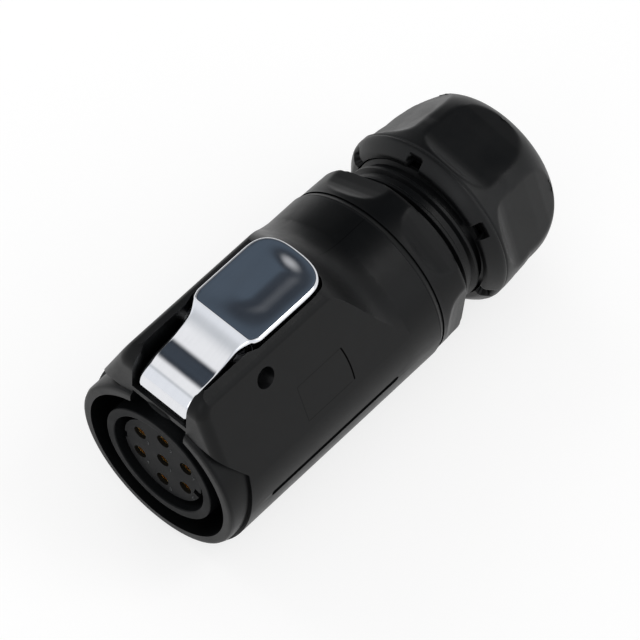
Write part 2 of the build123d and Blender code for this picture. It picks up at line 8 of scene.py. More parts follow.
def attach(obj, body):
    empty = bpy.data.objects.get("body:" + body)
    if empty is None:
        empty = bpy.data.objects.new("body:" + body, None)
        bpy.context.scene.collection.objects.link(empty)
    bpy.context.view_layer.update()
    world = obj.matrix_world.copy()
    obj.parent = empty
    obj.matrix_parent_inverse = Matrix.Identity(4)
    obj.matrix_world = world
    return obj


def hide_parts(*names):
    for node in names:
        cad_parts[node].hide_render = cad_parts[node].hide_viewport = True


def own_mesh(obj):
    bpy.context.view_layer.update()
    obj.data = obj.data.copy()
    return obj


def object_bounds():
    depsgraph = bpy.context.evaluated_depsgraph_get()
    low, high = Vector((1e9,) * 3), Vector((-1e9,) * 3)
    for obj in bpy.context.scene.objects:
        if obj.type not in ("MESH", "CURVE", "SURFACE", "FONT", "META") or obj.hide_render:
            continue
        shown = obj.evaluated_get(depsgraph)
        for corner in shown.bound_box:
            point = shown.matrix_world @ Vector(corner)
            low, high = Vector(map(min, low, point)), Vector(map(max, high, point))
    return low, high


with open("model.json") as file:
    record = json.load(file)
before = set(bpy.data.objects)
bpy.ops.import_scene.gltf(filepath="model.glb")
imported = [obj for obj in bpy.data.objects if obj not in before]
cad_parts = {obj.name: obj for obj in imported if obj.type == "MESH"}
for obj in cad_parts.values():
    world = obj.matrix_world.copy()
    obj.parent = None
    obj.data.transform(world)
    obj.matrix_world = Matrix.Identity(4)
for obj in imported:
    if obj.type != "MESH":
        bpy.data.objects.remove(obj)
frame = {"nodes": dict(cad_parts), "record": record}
cadLow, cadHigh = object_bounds()
nodes = frame["nodes"]
mm = 0.001
print("frame loaded:", len(nodes), "nodes")


# camera at the photograph's viewing angle, lengths in millimetres
cameraSet = {
    "azimuth": 219.862,
    "elevation": 57.128,
    "roll": 2.764,
    "distance": 872.855,
    "aim": (43.0, 0.0, 0.0),
    "shiftRight": 1.909,
    "shiftUp": 2.285,
    "lens": 291.65,
    "sensor": 36.0,
    # metres
    "clip": (0.05, 20.0),
}


def makeCamera(s):
    turn = math.radians(s["azimuth"])
    lift = math.radians(s["elevation"])
    roll = math.radians(s["roll"])
    back = Vector((math.cos(lift) * math.cos(turn), math.cos(lift) * math.sin(turn), math.sin(lift)))
    level = Vector((0, 0, 1)).cross(back).normalized()
    upright = back.cross(level)
    right = level * math.cos(roll) + upright * math.sin(roll)
    up = upright * math.cos(roll) - level * math.sin(roll)
    eye = Vector(s["aim"]) + back * s["distance"] - right * s["shiftRight"] - up * s["shiftUp"]
    data = bpy.data.cameras.new("photoCamera")
    data.lens = s["lens"]
    data.sensor_width = s["sensor"]
    data.clip_start, data.clip_end = s["clip"]
    camera = bpy.data.objects.new("photoCamera", data)
    turned = Matrix((right, up, back)).transposed().to_4x4()
    camera.matrix_world = Matrix.Translation(eye * mm) @ turned
    bpy.context.scene.collection.objects.link(camera)
    bpy.context.scene.camera = camera


makeCamera(cameraSet)
bpy.context.scene.view_settings.view_transform = "Standard"
print("camera set")


# small helpers for node trees
def addNode(tree, kind, **values):
    node = tree.nodes.new(kind)
    for name, value in values.items():
        setattr(node, name, value)
    return node


def fill(node, **values):
    for name, value in values.items():
        node.inputs[name.replace("_", " ")].default_value = value
    return node


def link(tree, source, target):
    tree.links.new(source, target)


# lamps, world and floor
lightSet = {
    "softBoxes": (
        # place, aim and size in metres, power in watts, seen in reflections
        ("softBoxFar", (0.10, 0.62, 0.34), (0.043, 0, 0), 0.55, 1.2, False),
        ("softBoxMouth", (-0.60, -0.12, 0.40), (0.02, 0, 0), 0.45, 0.5, True),
        ("softBoxNear", (0.30, -0.66, 0.42), (0.05, 0, 0), 0.60, 0.9, True),
        ("softBoxTop", (0.50, -0.42, 0.92), (0.045, 0, 0), 0.34, 1.3, True),
    ),
    "worldEven": 0.50,
    "worldLow": (0.93, 0.95, 0.98, 1),
    "worldHigh": (0.038, 0.046, 0.058, 1),
    "worldTop": (0.078, 0.102, 0.132, 1),
    "worldGrey": (0.66, 0.68, 0.70, 1),
    "capAim": (0.422, 0.201, 0.884),
    "capStops": (0.20, 0.42, 0.57, 0.68, 0.80, 0.90, 1.0),
    "sideAim": (0.50, 0.80, 0.33),
    "sideRamp": (0.74, 0.88),
    "sideDark": 0.74,
    "floorSize": 6.0,
    "floorMiddle": 0.043,
    "floorDrop": 0.0001,
    "floorAlbedo": 0.34,
    "floorWhite": 0.74,
}


def makeLamps(s):
    for name, place, aim, size, power, mirrored in s["softBoxes"]:
        data = bpy.data.lights.new(name, "AREA")
        data.shape = "SQUARE"
        data.size = size
        data.energy = power
        lamp = bpy.data.objects.new(name, data)
        lamp.location = place
        towards = Vector(aim) - Vector(place)
        lamp.rotation_euler = towards.to_track_quat("-Z", "Y").to_euler()
        lamp.visible_glossy = mirrored
        bpy.context.scene.collection.objects.link(lamp)


def makeWorld(s):
    world = bpy.data.worlds.new("softStudio")
    bpy.context.scene.world = world
    world.use_nodes = True
    tree = world.node_tree
    tree.nodes.clear()
    place = addNode(tree, "ShaderNodeTexCoord")
    cap = addNode(tree, "ShaderNodeVectorMath", operation="DOT_PRODUCT")
    cap.inputs[1].default_value = s["capAim"]
    ramp = addNode(tree, "ShaderNodeValToRGB")
    path = addNode(tree, "ShaderNodeLightPath")
    ramp.color_ramp.interpolation = "EASE"
    white = (1, 1, 1, 1)
    low, high, top = s["worldLow"], s["worldHigh"], s["worldTop"]
    tones = (low, low, s["worldGrey"], white, white, high, top)
    # a new ramp has two elements already
    for i, (stop, tone) in enumerate(zip(s["capStops"], tones)):
        element = ramp.color_ramp.elements[i] if i < 2 else ramp.color_ramp.elements.new(stop)
        element.position = stop
        element.color = tone
    link(tree, place.outputs["Generated"], cap.inputs[0])
    link(tree, cap.outputs["Value"], ramp.inputs["Fac"])
    glossy = addNode(tree, "ShaderNodeMix", data_type="RGBA")
    even = s["worldEven"]
    glossy.inputs["A"].default_value = (even, even, even, 1)
    link(tree, path.outputs["Is Glossy Ray"], glossy.inputs["Factor"])
    # the far side above the table is dark too
    side = addNode(tree, "ShaderNodeVectorMath", operation="DOT_PRODUCT")
    side.inputs[1].default_value = s["sideAim"]
    link(tree, place.outputs["Generated"], side.inputs[0])
    sideMask = addNode(tree, "ShaderNodeMapRange", interpolation_type="SMOOTHSTEP")
    begin, full = s["sideRamp"]
    fill(sideMask, From_Min=begin, From_Max=full, To_Max=s["sideDark"])
    link(tree, side.outputs["Value"], sideMask.inputs["Value"])
    dimmed = addNode(tree, "ShaderNodeMix", data_type="RGBA")
    dimmed.inputs["B"].default_value = s["worldHigh"]
    link(tree, sideMask.outputs["Result"], dimmed.inputs["Factor"])
    link(tree, ramp.outputs["Color"], dimmed.inputs["A"])
    link(tree, dimmed.outputs["Result"], glossy.inputs["B"])
    seen = addNode(tree, "ShaderNodeMix", data_type="RGBA")
    seen.inputs["B"].default_value = white
    link(tree, path.outputs["Is Camera Ray"], seen.inputs["Factor"])
    link(tree, glossy.outputs["Result"], seen.inputs["A"])
    light = addNode(tree, "ShaderNodeBackground")
    link(tree, seen.outputs["Result"], light.inputs["Color"])
    out = addNode(tree, "ShaderNodeOutputWorld")
    link(tree, light.outputs["Background"], out.inputs["Surface"])


def makeFloor(s):
    shell = bmesh.new()
    bmesh.ops.create_grid(shell, x_segments=1, y_segments=1, size=s["floorSize"] / 2)
    bmesh.ops.translate(shell, verts=shell.verts, vec=(s["floorMiddle"], 0, cadLow.z - s["floorDrop"]))
    mesh = bpy.data.meshes.new("paleFloor")
    shell.to_mesh(mesh)
    shell.free()
    floor = bpy.data.objects.new("paleFloor", mesh)
    bpy.context.scene.collection.objects.link(floor)
    material = bpy.data.materials.new("paleFloor")
    material.use_nodes = True
    tree = material.node_tree
    tree.nodes.clear()
    path = addNode(tree, "ShaderNodeLightPath")
    seen = addNode(tree, "ShaderNodeMath", operation="MAXIMUM")
    through = addNode(tree, "ShaderNodeMath", operation="MAXIMUM")
    scaled = addNode(tree, "ShaderNodeMath", operation="MULTIPLY")
    scaled.inputs[1].default_value = s["floorWhite"]
    link(tree, path.outputs["Is Camera Ray"], seen.inputs[0])
    link(tree, path.outputs["Is Glossy Ray"], seen.inputs[1])
    link(tree, seen.outputs[0], through.inputs[0])
    link(tree, path.outputs["Is Transmission Ray"], through.inputs[1])
    link(tree, through.outputs[0], scaled.inputs[0])
    glow = addNode(tree, "ShaderNodeEmission")
    link(tree, scaled.outputs[0], glow.inputs["Strength"])
    matt = addNode(tree, "ShaderNodeBsdfDiffuse")
    albedo = s["floorAlbedo"]
    matt.inputs["Color"].default_value = (albedo, albedo, albedo, 1)
    both = addNode(tree, "ShaderNodeAddShader")
    link(tree, glow.outputs[0], both.inputs[0])
    link(tree, matt.outputs[0], both.inputs[1])
    out = addNode(tree, "ShaderNodeOutputMaterial")
    link(tree, both.outputs[0], out.inputs["Surface"])
    floor.data.materials.append(material)


makeLamps(lightSet)
makeWorld(lightSet)
makeFloor(lightSet)
print("lamps, world and floor set")


# shared effects as node groups
def newGroup(name, inputs, outputs):
    group = bpy.data.node_groups.new(name, "ShaderNodeTree")
    for label, kind, value in inputs:
        socket = group.interface.new_socket(label, in_out="INPUT", socket_type=kind)
        if value is not None:
            socket.default_value = value
    for label, kind in outputs:
        group.interface.new_socket(label, in_out="OUTPUT", socket_type=kind)
    start = group.nodes.new("NodeGroupInput")
    end = group.nodes.new("NodeGroupOutput")
    return group, start, end


# grain sizes as (fine, slow) texture scales
grainSet = {
    "plastic": (9000.0, 260.0),
    "metal": (4200.0, 420.0),
    "fineDetail": 4.0,
    "fineRoughness": 0.6,
    "slowDetail": 3.0,
    "slowRoughness": 0.5,
    "pitShare": 0.5,
}


def makeGrainGroup(s):
    # moulded surface: fine spark texture over slow unevenness
    fineScale, slowScale = s["plastic"]
    group, start, end = newGroup(
        "mouldedGrain",
        (
            ("Vector", "NodeSocketVector", None),
            ("Fine", "NodeSocketFloat", fineScale),
            ("Slow", "NodeSocketFloat", slowScale),
        ),
        (("Height", "NodeSocketFloat"), ("Tone", "NodeSocketFloat")),
    )
    fine = addNode(group, "ShaderNodeTexNoise")
    fill(fine, Detail=s["fineDetail"], Roughness=s["fineRoughness"])
    slow = addNode(group, "ShaderNodeTexNoise")
    fill(slow, Detail=s["slowDetail"], Roughness=s["slowRoughness"])
    pits = addNode(group, "ShaderNodeTexVoronoi")
    link(group, start.outputs["Vector"], fine.inputs["Vector"])
    link(group, start.outputs["Fine"], fine.inputs["Scale"])
    link(group, start.outputs["Vector"], slow.inputs["Vector"])
    link(group, start.outputs["Slow"], slow.inputs["Scale"])
    link(group, start.outputs["Vector"], pits.inputs["Vector"])
    link(group, start.outputs["Fine"], pits.inputs["Scale"])
    both = addNode(group, "ShaderNodeMath", operation="MULTIPLY_ADD")
    both.inputs[1].default_value = s["pitShare"]
    link(group, pits.outputs["Distance"], both.inputs[0])
    link(group, fine.outputs["Fac"], both.inputs[2])
    link(group, both.outputs[0], end.inputs["Height"])
    link(group, slow.outputs["Fac"], end.inputs["Tone"])
    return group


wearSet = {
    "radius": 0.0004,
    "samples": 6,
    # match of the two normals where wear begins and where it is full
    "match": (0.995, 0.80),
    "patchScale": 900.0,
    "patchDetail": 5.0,
    "patchRoughness": 0.65,
    "patchRange": (0.38, 0.62),
    "least": 0.15,
}


def makeWearGroup(s):
    # rubbed edges: where a rounded normal leaves the true one, broken up by noise
    group, start, end = newGroup(
        "rubbedEdges",
        (
            ("Vector", "NodeSocketVector", None),
            ("Radius", "NodeSocketFloat", s["radius"]),
            ("Amount", "NodeSocketFloat", 1.0),
        ),
        (("Mask", "NodeSocketFloat"),),
    )
    rounded = addNode(group, "ShaderNodeBevel", samples=s["samples"])
    link(group, start.outputs["Radius"], rounded.inputs["Radius"])
    true = addNode(group, "ShaderNodeNewGeometry")
    match = addNode(group, "ShaderNodeVectorMath", operation="DOT_PRODUCT")
    link(group, rounded.outputs["Normal"], match.inputs[0])
    link(group, true.outputs["Normal"], match.inputs[1])
    edge = addNode(group, "ShaderNodeMapRange")
    begin, full = s["match"]
    fill(edge, From_Min=begin, From_Max=full)
    link(group, match.outputs["Value"], edge.inputs["Value"])
    patches = addNode(group, "ShaderNodeTexNoise")
    fill(patches, Scale=s["patchScale"], Detail=s["patchDetail"], Roughness=s["patchRoughness"])
    link(group, start.outputs["Vector"], patches.inputs["Vector"])
    broken = addNode(group, "ShaderNodeMapRange")
    low, high = s["patchRange"]
    fill(broken, From_Min=low, From_Max=high, To_Min=s["least"])
    link(group, patches.outputs["Fac"], broken.inputs["Value"])
    worn = addNode(group, "ShaderNodeMath", operation="MULTIPLY")
    link(group, edge.outputs["Result"], worn.inputs[0])
    link(group, broken.outputs["Result"], worn.inputs[1])
    scaled = addNode(group, "ShaderNodeMath", operation="MULTIPLY")
    link(group, worn.outputs[0], scaled.inputs[0])
    link(group, start.outputs["Amount"], scaled.inputs[1])
    link(group, scaled.outputs[0], end.inputs["Mask"])
    return group


dustSet = {
    "gloss": (0.4, 0.55),
    "smearScale": 180.0,
    "smearDetail": 6.0,
    "smearRoughness": 0.62,
    "smearTwist": 0.6,
    "smearRange": (0.3, 0.7),
    "speckScale": 2600.0,
    "speckDetail": 2.0,
    "speckRoughness": 0.5,
    "speckRange": (0.66, 0.78),
}


def makeDustGroup(s):
    # faint dust and handling marks that change the gloss
    lowGloss, highGloss = s["gloss"]
    group, start, end = newGroup(
        "handledGloss",
        (
            ("Vector", "NodeSocketVector", None),
            ("Low", "NodeSocketFloat", lowGloss),
            ("High", "NodeSocketFloat", highGloss),
        ),
        (("Roughness", "NodeSocketFloat"), ("Specks", "NodeSocketFloat")),
    )
    smear = addNode(group, "ShaderNodeTexNoise")
    fill(smear, Scale=s["smearScale"], Detail=s["smearDetail"])
    fill(smear, Roughness=s["smearRoughness"], Distortion=s["smearTwist"])
    specks = addNode(group, "ShaderNodeTexNoise")
    fill(specks, Scale=s["speckScale"], Detail=s["speckDetail"], Roughness=s["speckRoughness"])
    link(group, start.outputs["Vector"], smear.inputs["Vector"])
    link(group, start.outputs["Vector"], specks.inputs["Vector"])
    gloss = addNode(group, "ShaderNodeMapRange")
    low, high = s["smearRange"]
    fill(gloss, From_Min=low, From_Max=high)
    link(group, smear.outputs["Fac"], gloss.inputs["Value"])
    link(group, start.outputs["Low"], gloss.inputs["To Min"])
    link(group, start.outputs["High"], gloss.inputs["To Max"])
    few = addNode(group, "ShaderNodeMapRange")
    low, high = s["speckRange"]
    fill(few, From_Min=low, From_Max=high)
    link(group, specks.outputs["Fac"], few.inputs["Value"])
    link(group, gloss.outputs["Result"], end.inputs["Roughness"])
    link(group, few.outputs["Result"], end.inputs["Specks"])
    return group


def lineNear(group, value, place, half, core=0.4):
    # 1 in the core of a line round a place, falling to 0 at its half width
    gap = addNode(group, "ShaderNodeMath", operation="SUBTRACT")
    gap.inputs[1].default_value = place
    link(group, value, gap.inputs[0])
    size = addNode(group, "ShaderNodeMath", operation="ABSOLUTE")
    link(group, gap.outputs[0], size.inputs[0])
    near = addNode(group, "ShaderNodeMapRange")
    fill(near, From_Min=half, From_Max=half * core)
    link(group, size.outputs[0], near.inputs["Value"])
    return near.outputs["Result"]


def within(group, value, low, high):
    # 1 between two values, else 0
    above = addNode(group, "ShaderNodeMath", operation="GREATER_THAN")
    above.inputs[1].default_value = low
    link(group, value, above.inputs[0])
    below = addNode(group, "ShaderNodeMath", operation="LESS_THAN")
    below.inputs[1].default_value = high
    link(group, value, below.inputs[0])
    return joined(group, "MULTIPLY", above.outputs[0], below.outputs[0])


def joined(group, operation, *values):
    # all values joined by one operation
    whole = values[0]
    for value in values[1:]:
        node = addNode(group, "ShaderNodeMath", operation=operation)
        link(group, whole, node.inputs[0])
        link(group, value, node.inputs[1])
        whole = node.outputs[0]
    return whole


# places of the mould marks, metres in the plug's own frame
mouldSet = {
    "seamHalf": 0.00010,
    "seamY": 0.0003,
    "seamX": (0.0395, 0.0509),
    "panelX": (0.0199, 0.0306),
    "panelZ": (0.0079, 0.01505),
    "panelHalf": 0.00009,
    "rearX": 0.0312,
    "rearZ": 0.0098,
    "rearBow": 26.0,
    "rearHalf": 0.00022,
    "faint": 0.45,
    "upperHalf": (0.0, 1.0),
    "nearHalf": (-1.0, 0.0),
}


def makeMouldGroup(s):
    # fine lines left by the mould: a seam on top and the outline of a bare panel on one flank
    group, start, end = newGroup(
        "mouldLines",
        (("Vector", "NodeSocketVector", None),),
        (("Lines", "NodeSocketFloat"),),
    )
    place = addNode(group, "ShaderNodeSeparateXYZ")
    link(group, start.outputs["Vector"], place.inputs[0])
    x, y, z = place.outputs["X"], place.outputs["Y"], place.outputs["Z"]
    seam = joined(
        group,
        "MULTIPLY",
        lineNear(group, y, s["seamY"], s["seamHalf"]),
        within(group, x, *s["seamX"]),
        within(group, z, *s["upperHalf"]),
    )
    nearSide = within(group, y, *s["nearHalf"])
    lowZ, highZ = s["panelZ"]
    frontX, backX = s["panelX"]
    rows = joined(
        group,
        "MAXIMUM",
        lineNear(group, z, lowZ, s["panelHalf"]),
        lineNear(group, z, highZ, s["panelHalf"]),
    )
    long = joined(group, "MULTIPLY", rows, within(group, x, frontX, backX), nearSide)
    front = joined(
        group,
        "MULTIPLY",
        lineNear(group, x, frontX, s["panelHalf"]),
        within(group, z, lowZ, highZ),
        nearSide,
    )
    outline = joined(group, "MAXIMUM", seam, long, front)
    faint = addNode(group, "ShaderNodeMath", operation="MULTIPLY")
    faint.inputs[1].default_value = s["faint"]
    link(group, outline, faint.inputs[0])
    # the rear border is bowed, wider and at full strength
    drop = addNode(group, "ShaderNodeMath", operation="SUBTRACT")
    drop.inputs[1].default_value = s["rearZ"]
    link(group, z, drop.inputs[0])
    square = joined(group, "MULTIPLY", drop.outputs[0], drop.outputs[0])
    bow = addNode(group, "ShaderNodeMath", operation="MULTIPLY_ADD")
    bow.inputs[1].default_value = s["rearBow"]
    link(group, square, bow.inputs[0])
    link(group, x, bow.inputs[2])
    rear = joined(
        group,
        "MULTIPLY",
        lineNear(group, bow.outputs[0], s["rearX"], s["rearHalf"]),
        within(group, z, lowZ, highZ),
        nearSide,
    )
    link(group, joined(group, "MAXIMUM", faint.outputs[0], rear), end.inputs["Lines"])
    return group


streakSet = {"across": 2600.0, "stretch": (0.03, 1.0, 0.03), "detail": 3.0, "roughness": 0.55}


def makeStreakGroup(s):
    # fine polishing streaks that run along the lever
    group, start, end = newGroup(
        "polishStreaks",
        (("Vector", "NodeSocketVector", None), ("Across", "NodeSocketFloat", s["across"])),
        (("Streak", "NodeSocketFloat"),),
    )
    stretch = addNode(group, "ShaderNodeVectorMath", operation="MULTIPLY")
    stretch.inputs[1].default_value = s["stretch"]
    link(group, start.outputs["Vector"], stretch.inputs[0])
    lines = addNode(group, "ShaderNodeTexNoise")
    fill(lines, Detail=s["detail"], Roughness=s["roughness"])
    link(group, stretch.outputs["Vector"], lines.inputs["Vector"])
    link(group, start.outputs["Across"], lines.inputs["Scale"])
    link(group, lines.outputs["Fac"], end.inputs["Streak"])
    return group


grainGroup = makeGrainGroup(grainSet)
mouldGroup = makeMouldGroup(mouldSet)
streakGroup = makeStreakGroup(streakSet)
wearGroup = makeWearGroup(wearSet)
glossGroup = makeDustGroup(dustSet)


def startMaterial(name):
    material = bpy.data.materials.new(name)
    material.use_nodes = True
    tree = material.node_tree
    tree.nodes.clear()
    place = addNode(tree, "ShaderNodeTexCoord")
    shader = addNode(tree, "ShaderNodeBsdfPrincipled")
    out = addNode(tree, "ShaderNodeOutputMaterial")
    link(tree, shader.outputs["BSDF"], out.inputs["Surface"])
    return material, tree, place.outputs["Object"], shader


def useGroup(tree, group, place, **values):
    node = addNode(tree, "ShaderNodeGroup", node_tree=group)
    link(tree, place, node.inputs["Vector"])
    fill(node, **values)
    return node


def mixColours(tree, factor, first, second):
    mix = addNode(tree, "ShaderNodeMix", data_type="RGBA")
    link(tree, factor, mix.inputs["Factor"])
    for value, socket in ((first, "A"), (second, "B")):
        if isinstance(value, tuple):
            mix.inputs[socket].default_value = value
        else:
            link(tree, value, mix.inputs[socket])
    return mix.outputs["Result"]


def grey(level, warm=0.0):
    return (level * (1 + warm), level, level * (1 - warm), 1)


# tones of specks and lines as shares of the plastic's own, bump distances in metres
surfaceSet = {"speckLight": 1.7, "lineDark": 0.2, "plasticBump": 0.00005, "metalBump": 0.00003}
# moulded plastics and rubber differ in colour, gloss and grain
plasticSet = {
    "bodyPlastic": {
        "dark": 0.0024, "light": 0.0042, "worn": 0.022, "warm": -0.08,
        "low": 0.33, "high": 0.42, "specular": 0.165, "bump": 0.20, "wear": 0.5,
    },
    "nutPlastic": {
        "dark": 0.0026, "light": 0.0044, "worn": 0.024, "warm": -0.08,
        "low": 0.36, "high": 0.45, "specular": 0.25, "bump": 0.22, "wear": 0.5,
    },
    "insertPlastic": {
        "dark": 0.0060, "light": 0.0085, "worn": 0.026, "warm": -0.08,
        "low": 0.40, "high": 0.52, "specular": 0.06, "bump": 0.16, "wear": 0.5,
    },
    "markPlastic": {
        "dark": 0.040, "light": 0.055, "worn": 0.070, "warm": -0.06,
        "low": 0.42, "high": 0.55, "specular": 0.30, "bump": 0.10, "wear": 0.3,
    },
    "clawPlastic": {
        "dark": 0.42, "light": 0.50, "worn": 0.60, "warm": 0.02,
        "low": 0.40, "high": 0.52, "specular": 0.4, "bump": 0.15, "wear": 0.3,
    },
    "sealRubber": {
        "dark": 0.010, "light": 0.016, "worn": 0.030, "warm": 0.0,
        "low": 0.62, "high": 0.75, "specular": 0.25, "bump": 0.3, "wear": 0.2,
    },
}


def makePlastic(name, s):
    material, tree, place, shader = startMaterial(name)
    fine, slow = grainSet["plastic"]
    grain = useGroup(tree, grainGroup, place, Fine=fine, Slow=slow)
    wear = useGroup(tree, wearGroup, place, Radius=wearSet["radius"], Amount=s["wear"])
    gloss = useGroup(tree, glossGroup, place, Low=s["low"], High=s["high"])
    darkTone = grey(s["dark"], s["warm"])
    lightTone = grey(s["light"], s["warm"])
    speckTone = grey(s["light"] * surfaceSet["speckLight"], s["warm"])
    base = mixColours(tree, grain.outputs["Tone"], darkTone, lightTone)
    dusty = mixColours(tree, gloss.outputs["Specks"], base, speckTone)
    worn = mixColours(tree, wear.outputs["Mask"], dusty, grey(s["worn"], s["warm"]))
    bump = addNode(tree, "ShaderNodeBump")
    fill(bump, Strength=s["bump"], Distance=surfaceSet["plasticBump"])
    link(tree, grain.outputs["Height"], bump.inputs["Height"])
    if name == "bodyPlastic":
        marks = useGroup(tree, mouldGroup, place)
        lineTone = grey(s["dark"] * surfaceSet["lineDark"], s["warm"])
        worn = mixColours(tree, marks.outputs["Lines"], worn, lineTone)
        shine = addNode(tree, "ShaderNodeMapRange")
        fill(shine, To_Min=s["specular"], To_Max=0.0)
        link(tree, marks.outputs["Lines"], shine.inputs["Value"])
        link(tree, shine.outputs["Result"], shader.inputs["Specular IOR Level"])
    else:
        shader.inputs["Specular IOR Level"].default_value = s["specular"]
    link(tree, worn, shader.inputs["Base Color"])
    link(tree, gloss.outputs["Roughness"], shader.inputs["Roughness"])
    link(tree, bump.outputs["Normal"], shader.inputs["Normal"])
    return material


# metals: chrome, plain steel and gold
metalSet = {
    "leverChrome": {
        "dark": (0.70, 0.71, 0.74, 1),
        "light": (0.80, 0.81, 0.84, 1),
        "low": 0.07,
        "high": 0.13,
        "bump": 0.02,
    },
    "pinSteel": {
        "dark": (0.34, 0.34, 0.35, 1),
        "light": (0.50, 0.50, 0.51, 1),
        "low": 0.24,
        "high": 0.38,
        "bump": 0.06,
    },
    "contactGold": {
        "dark": (0.78, 0.48, 0.12, 1),
        "light": (0.95, 0.68, 0.24, 1),
        "low": 0.22,
        "high": 0.34,
        "bump": 0.05,
    },
}


def makeMetal(name, s):
    material, tree, place, shader = startMaterial(name)
    gloss = useGroup(tree, glossGroup, place, Low=s["low"], High=s["high"])
    fine, slow = grainSet["metal"]
    grain = useGroup(tree, grainGroup, place, Fine=fine, Slow=slow)
    tone = mixColours(tree, grain.outputs["Tone"], s["dark"], s["light"])
    height = grain.outputs["Height"]
    if name == "leverChrome":
        streaks = useGroup(tree, streakGroup, place, Across=streakSet["across"])
        tone = mixColours(tree, streaks.outputs["Streak"], tone, s["light"])
        height = streaks.outputs["Streak"]
    link(tree, tone, shader.inputs["Base Color"])
    link(tree, gloss.outputs["Roughness"], shader.inputs["Roughness"])
    shader.inputs["Metallic"].default_value = 1.0
    bump = addNode(tree, "ShaderNodeBump")
    fill(bump, Strength=s["bump"], Distance=surfaceSet["metalBump"])
    link(tree, height, bump.inputs["Height"])
    link(tree, bump.outputs["Normal"], shader.inputs["Normal"])
    return material


materials = {name: makePlastic(name, s) for name, s in plasticSet.items()}
materials.update({name: makeMetal(name, s) for name, s in metalSet.items()})
print("materials made:", len(materials))


# pieces that follow a solid of the frame, with their edges rounded
meshSet = {"weld": 2e-6, "flatAngle": 0.4}


def weldedNode(node):
    shell = bmesh.new()
    shell.from_mesh(nodes[node].data)
    bmesh.ops.remove_doubles(shell, verts=shell.verts, dist=meshSet["weld"])
    return shell


def copyOfNode(node):
    # the solid's mesh with its flat areas joined to single faces
    shell = weldedNode(node)
    bmesh.ops.dissolve_limit(
        shell,
        angle_limit=math.radians(meshSet["flatAngle"]),
        verts=shell.verts,
        edges=shell.edges,
        delimit=set(),
    )
    return shell


def everything(shell):
    return shell.verts[:] + shell.edges[:] + shell.faces[:]


def roundEdges(shell, width, segments, sharp):
    limit = math.radians(sharp)
    edges = [e for e in shell.edges if len(e.link_faces) == 2 and e.calc_face_angle(0) > limit]
    bmesh.ops.bevel(
        shell,
        geom=edges,
        offset=width,
        offset_type="OFFSET",
        affect="EDGES",
        segments=segments,
        profile=0.5,
        material=-1,
        clamp_overlap=True,
    )


def finishPiece(shell, name, body, finish, smooth=35):
    mesh = bpy.data.meshes.new(name)
    shell.to_mesh(mesh)
    shell.free()
    mesh.shade_smooth()
    mesh.set_sharp_from_angle(angle=math.radians(smooth))
    mesh.materials.append(materials[finish])
    piece = bpy.data.objects.new(name, mesh)
    bpy.context.scene.collection.objects.link(piece)
    even = piece.modifiers.new("evenNormals", "WEIGHTED_NORMAL")
    even.keep_sharp = True
    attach(piece, body)
    return piece


# the body that each node moves with
bodyOf = {}
for bodyName, members in frame["record"]["behaviour"]["bodies"].items():
    for member in members:
        bodyOf[member] = bodyName

softenSet = {
    # node: finish, edge radius in millimetres, segments, angle that counts as an edge
    "coupling_housing": ("bodyPlastic", 0.25, 3, 25),
    "insert_barrel": ("insertPlastic", 0.25, 3, 40),
    "contact_insert": ("insertPlastic", 0.12, 2, 40),
    "lever_pin": ("pinSteel", 0.05, 2, 30),
    "cable_grommet": ("sealRubber", 0.15, 2, 30),
    "slip_washer": ("clawPlastic", 0.15, 2, 40),
}
for node, (finish, radius, segments, sharp) in softenSet.items():
    shell = copyOfNode(node)
    roundEdges(shell, radius * mm, segments, sharp)
    piece = finishPiece(shell, node.title().replace("_", "") + "Piece", bodyOf[node], finish)
    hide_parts(node)
print("rounded pieces made:", len(softenSet))


# grip faces round the flange, and round the nut
gripCount = 6
# beyond this many softening widths two shapes no longer blend
blendReach = 40.0


def gripRadius(x, turn, s):
    # radius of a round outline with grip faces that fade out towards the front
    whole = heightAt(s["outline"], x)
    face = heightAt(s["faces"], x)
    step = 2 * math.pi / gripCount
    off = (turn - math.radians(s["facesTurn"]) + step / 2) % step - step / 2
    face = face / math.cos(off)
    soft = s["soft"]
    apart = min(abs(whole - face) / soft, blendReach)
    return min(whole, face) - soft * math.log1p(math.exp(-apart))


def heightAt(points, x):
    if x <= points[0][0]:
        return points[0][1]
    for (x0, r0), (x1, r1) in zip(points, points[1:]):
        if x <= x1:
            return r0 + (r1 - r0) * (x - x0) / max(x1 - x0, 1e-9)
    return points[-1][1]


def addTurned(shell, rows):
    # skin over rows of points that each go once round the axis
    rings = []
    for row in rows:
        places = [(x * mm, r * math.sin(turn) * mm, r * math.cos(turn) * mm) for x, r, turn in row]
        rings.append([shell.verts.new(place) for place in places])
    for first, second in zip(rings, rings[1:]):
        for i in range(len(first)):
            k = (i + 1) % len(first)
            shell.faces.new((first[i], first[k], second[k], second[i]))


def dropFaces(shell, test):
    gone = [f for f in shell.faces if test(f)]
    bmesh.ops.delete(shell, geom=gone, context="FACES")
    bmesh.ops.delete(shell, geom=[v for v in shell.verts if not v.link_faces], context="VERTS")


def radiusOf(vert):
    return math.hypot(vert.co.y, vert.co.z) / mm


